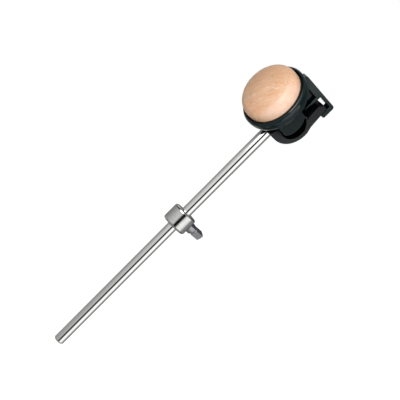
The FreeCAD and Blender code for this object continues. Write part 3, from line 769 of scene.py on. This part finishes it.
STUDIO_CARDS = (
    CardRow(-0.75, (
        (-180.0, 0.3), (-166.0, 0.75), (-146.0, 0.75), (-141.0, 0.06), (-128.0, 0.06),
        (-122.0, 0.5), (-100.0, 0.5), (-50.0, 0.3), (-20.0, 0.2), (30.0, 0.2), (45.0, 0.42),
        (58.0, 0.42), (70.0, 0.1), (122.0, 0.05), (130.0, 0.6), (150.0, 0.6), (156.0, 0.08),
        (168.0, 0.08), (180.0, 0.3))),
    CardRow(-0.32, (
        (-180.0, 0.34), (-149.0, 0.36), (-102.0, 0.42), (-62.0, 0.52), (-50.0, 0.44),
        (-44.0, 0.06), (-40.0, 0.0), (-23.0, 0.0), (-18.0, 0.3), (-11.0, 1.0),
        (0.0, 1.28), (20.0, 1.3), (32.0, 1.06), (44.0, 0.6), (54.0, 0.32),
        (70.0, 0.32), (100.0, 0.28), (138.0, 0.34), (146.0, 1.0), (160.0, 1.0),
        (164.0, 0.1), (174.0, 0.06), (180.0, 0.34))),
    CardRow(0.2, (
        (-180.0, 0.32), (-149.0, 0.34), (-102.0, 0.74), (-62.0, 0.98), (-50.0, 0.72),
        (-44.0, 0.08), (-40.0, 0.0), (-23.0, 0.0), (-18.0, 0.34), (-11.0, 1.08),
        (0.0, 1.34), (20.0, 1.36), (32.0, 1.24), (44.0, 0.82), (54.0, 0.34),
        (70.0, 0.3), (88.0, 0.22), (103.0, 0.13), (118.0, 0.12), (138.0, 0.3),
        (146.0, 1.0), (160.0, 1.0), (164.0, 0.1), (174.0, 0.06), (180.0, 0.32))),
    CardRow(0.27, (
        (-180.0, 0.4), (-168.0, 0.15), (-158.0, 0.02), (-104.0, 0.02), (-96.0, 0.6),
        (-86.0, 5.2), (-54.0, 5.2), (-48.0, 0.6), (-43.0, 0.05), (-23.0, 0.0),
        (-16.0, 0.4), (-9.0, 1.4), (0.0, 1.6), (28.0, 1.6), (39.0, 1.5), (45.0, 0.36),
        (60.0, 0.34), (75.0, 0.26), (88.0, 0.12), (103.0, 0.06), (120.0, 0.08),
        (150.0, 0.2), (180.0, 0.4))),
    CardRow(0.42, (
        (-180.0, 0.4), (-168.0, 0.15), (-158.0, 0.02), (-104.0, 0.02), (-96.0, 0.6),
        (-86.0, 5.4), (-54.0, 5.4), (-48.0, 0.6), (-43.0, 0.05), (-23.0, 0.0),
        (-16.0, 0.4), (-9.0, 1.4), (0.0, 1.6), (28.0, 1.6), (39.0, 1.5), (45.0, 0.36),
        (60.0, 0.34), (75.0, 0.26), (88.0, 0.12), (103.0, 0.06), (120.0, 0.08),
        (150.0, 0.2), (180.0, 0.4))),
    CardRow(0.88, (
        (-180.0, 0.5), (-150.0, 0.2), (-140.0, 0.02), (-104.0, 0.02), (-96.0, 0.5),
        (-88.0, 3.4), (-54.0, 3.4), (-46.0, 0.4), (-20.0, 0.3), (0.0, 0.8), (30.0, 1.0),
        (53.0, 1.2), (57.0, 0.12), (125.0, 0.08), (150.0, 0.3), (180.0, 0.5))),
    CardRow(1.0, (
        (-180.0, 0.8), (-150.0, 0.5), (-120.0, 0.1), (-98.0, 0.5), (-88.0, 2.0),
        (-54.0, 2.0), (-46.0, 0.4), (-20.0, 0.3), (0.0, 0.6), (25.0, 0.5), (45.0, 0.1),
        (125.0, 0.08), (150.0, 0.5), (180.0, 0.8))),
)


def put_up(name: str, data: bpy.types.ID) -> bpy.types.Object:
    """Put a thing of the studio into the scene.

    Args:
        name: its name.
        data: its mesh, light or camera.

    Returns:
        The new object.
    """
    thing = bpy.data.objects.new(name, data)
    bpy.context.scene.collection.objects.link(thing)
    return thing


@dataclass
class Studio:
    """The floor, the lights and what the plated metal mirrors."""

    floor_half: float = 5.0
    floor_z: float = -0.0004
    floor_grey: float = 0.5
    floor_glow: float = 0.82
    wrap_radius: float = 1.4
    wrap_low: float = -1.3
    wrap_high: float = 1.9
    wrap_steps: int = 96
    wrap_cards: tuple[CardRow, ...] = STUDIO_CARDS
    fill: float = 0.52
    mirrored: float = 0.3
    key_power: float = 18.5
    key_size: float = 1.0
    key_place: Place = (1.15, -0.82, 0.42)
    key_aim: Place = (0.0, 0.0, 0.18)

    def build(self) -> None:
        """Set up the whole studio."""
        self.lay_floor()
        self.hang_wrap()
        self.light_world()
        self.place_key()
        bpy.context.scene.view_settings.view_transform = "Standard"
        LOG.info("studio: floor, wrap, world and key light")

    def lay_floor(self) -> None:
        """Lay the pale floor, which reads white and keeps a soft shadow."""
        mesh = bpy.data.meshes.new("floor")
        work = bmesh.new()
        bmesh.ops.create_grid(work, x_segments=1, y_segments=1, size=self.floor_half,
                              matrix=Matrix.Translation((0.0, 0.0, self.floor_z)))
        work.to_mesh(mesh)
        work.free()
        floor = put_up("floor", mesh)
        floor.visible_glossy = False
        material, graph = new_finish("floor_paper")
        seen = graph.add("ShaderNodeLightPath").outputs["Is Camera Ray"]
        paper = graph.add("ShaderNodeBsdfDiffuse", {"Color": (*[self.floor_grey] * 3, 1.0)})
        glow = graph.add("ShaderNodeEmission",
                         {"Strength": graph.sum("MULTIPLY", seen, self.floor_glow)})
        graph.show(graph.add("ShaderNodeAddShader", {0: paper.outputs[0], 1: glow.outputs[0]}))
        mesh.materials.append(material)

    def hang_wrap(self) -> None:
        """Hang the ring of white and grey cards that only the shiny pieces mirror."""
        mesh = bpy.data.meshes.new("studio_wrap")
        work = bmesh.new()
        turns = [math.tau * step / self.wrap_steps for step in range(self.wrap_steps)]
        low, high = ([work.verts.new((self.wrap_radius * math.cos(turn),
                                      self.wrap_radius * math.sin(turn), z)) for turn in turns]
                     for z in (self.wrap_low, self.wrap_high))
        for here in range(self.wrap_steps):
            there = (here + 1) % self.wrap_steps
            work.faces.new((low[here], low[there], high[there], high[here]))
        work.to_mesh(mesh)
        work.free()
        wrap = put_up("studio_wrap", mesh)
        for way in ("camera", "diffuse", "transmission", "volume_scatter", "shadow"):
            setattr(wrap, f"visible_{way}", False)
        material, graph = new_finish("studio_cards")
        parts = graph.split(graph.place())
        share = graph.band(graph.sum("ARCTAN2", parts["Y"], parts["X"]), -math.pi, math.pi)
        shown = self.ramp(graph, share, self.wrap_cards[0])
        for below, row in zip(self.wrap_cards, self.wrap_cards[1:]):
            climb = graph.band(parts["Z"], below.height, row.height)
            shown = graph.blend(climb, shown, self.ramp(graph, share, row))
        graph.show(graph.add("ShaderNodeEmission", {"Color": shown, "Strength": 1.0}))
        mesh.materials.append(material)

    @staticmethod
    def ramp(graph: Graph, share: Socket, row: CardRow) -> Socket:
        """Make the cards of one height.

        Args:
            graph: the wrap's graph.
            share: the turn round the wrap, from 0 to 1.
            row: the cards.

        Returns:
            The cards' colour socket.
        """
        ramp = graph.add("ShaderNodeValToRGB", {"Fac": share})
        stops = ramp.color_ramp.elements
        while len(stops) > 1:
            stops.remove(stops[-1])
        for number, (bearing, level) in enumerate(row.cards):
            where = (bearing + 180.0) / 360.0
            stop = stops[0] if number == 0 else stops.new(where)
            stop.position = where
            stop.color = (level, level, level, 1.0)
        return ramp.outputs["Color"]

    def light_world(self) -> None:
        """Make the surroundings white to look at and soft to be lit by."""
        world = bpy.data.worlds.new("studio_world")
        world.use_nodes = True
        bpy.context.scene.world = world
        graph = Graph(world.node_tree)
        path = graph.add("ShaderNodeLightPath").outputs
        fill, mirrored, white = (
            graph.add("ShaderNodeBackground", {"Color": (1.0, 1.0, 1.0, 1.0),
                                               "Strength": level}).outputs[0]
            for level in (self.fill, self.mirrored, 1.0))
        shown = fill
        for ray, sky in (("Is Glossy Ray", mirrored), ("Is Camera Ray", white)):
            shown = graph.add("ShaderNodeMixShader", {0: path[ray], 1: shown, 2: sky}).outputs[0]
        graph.add("ShaderNodeOutputWorld", {"Surface": shown})

    def place_key(self) -> None:
        """Place the one large soft light, to the right of the camera."""
        lamp = bpy.data.lights.new("key_light", "AREA")
        lamp.energy = self.key_power
        lamp.size = self.key_size
        key = put_up("key_light", lamp)
        aim = Vector(self.key_aim) - Vector(self.key_place)
        key.matrix_world = (Matrix.Translation(self.key_place)
                            @ aim.to_track_quat("-Z", "Y").to_matrix().to_4x4())
        key.visible_glossy = False


@dataclass
class PhotoCamera:
    """The camera, fitted to the photograph's view of the beater."""

    place: Place = (0.5867, -0.53459, 0.19418)
    right: Place = (0.44503, 0.55212, 0.70506)
    up: Place = (-0.5086, -0.4922, 0.70645)
    back: Place = (0.73708, -0.67298, 0.06177)
    lens: float = 99.9
    sensor: float = 36.0
    near: float = 0.01
    far: float = 50.0

    def build(self) -> None:
        """Put up the camera and make it the scene's own."""
        lens = bpy.data.cameras.new("photo_camera")
        lens.lens, lens.sensor_width, lens.sensor_fit = self.lens, self.sensor, "HORIZONTAL"
        lens.clip_start, lens.clip_end = self.near, self.far
        camera = put_up("photo_camera", lens)
        turn = Matrix((self.right, self.up, self.back)).transposed().to_4x4()
        camera.matrix_world = Matrix.Translation(self.place) @ turn
        bpy.context.scene.camera = camera
        LOG.info("camera: %.1f mm lens", self.lens)


def main() -> None:
    """Build the camera, the beater and the studio in order."""
    logging.basicConfig(level=logging.INFO, format="%(name)s: %(message)s")
    for step in (PhotoCamera(), Rod(), Carrier(), Head(), Weight(), Studio()):
        step.build()


if __name__ == "__main__":
    main()
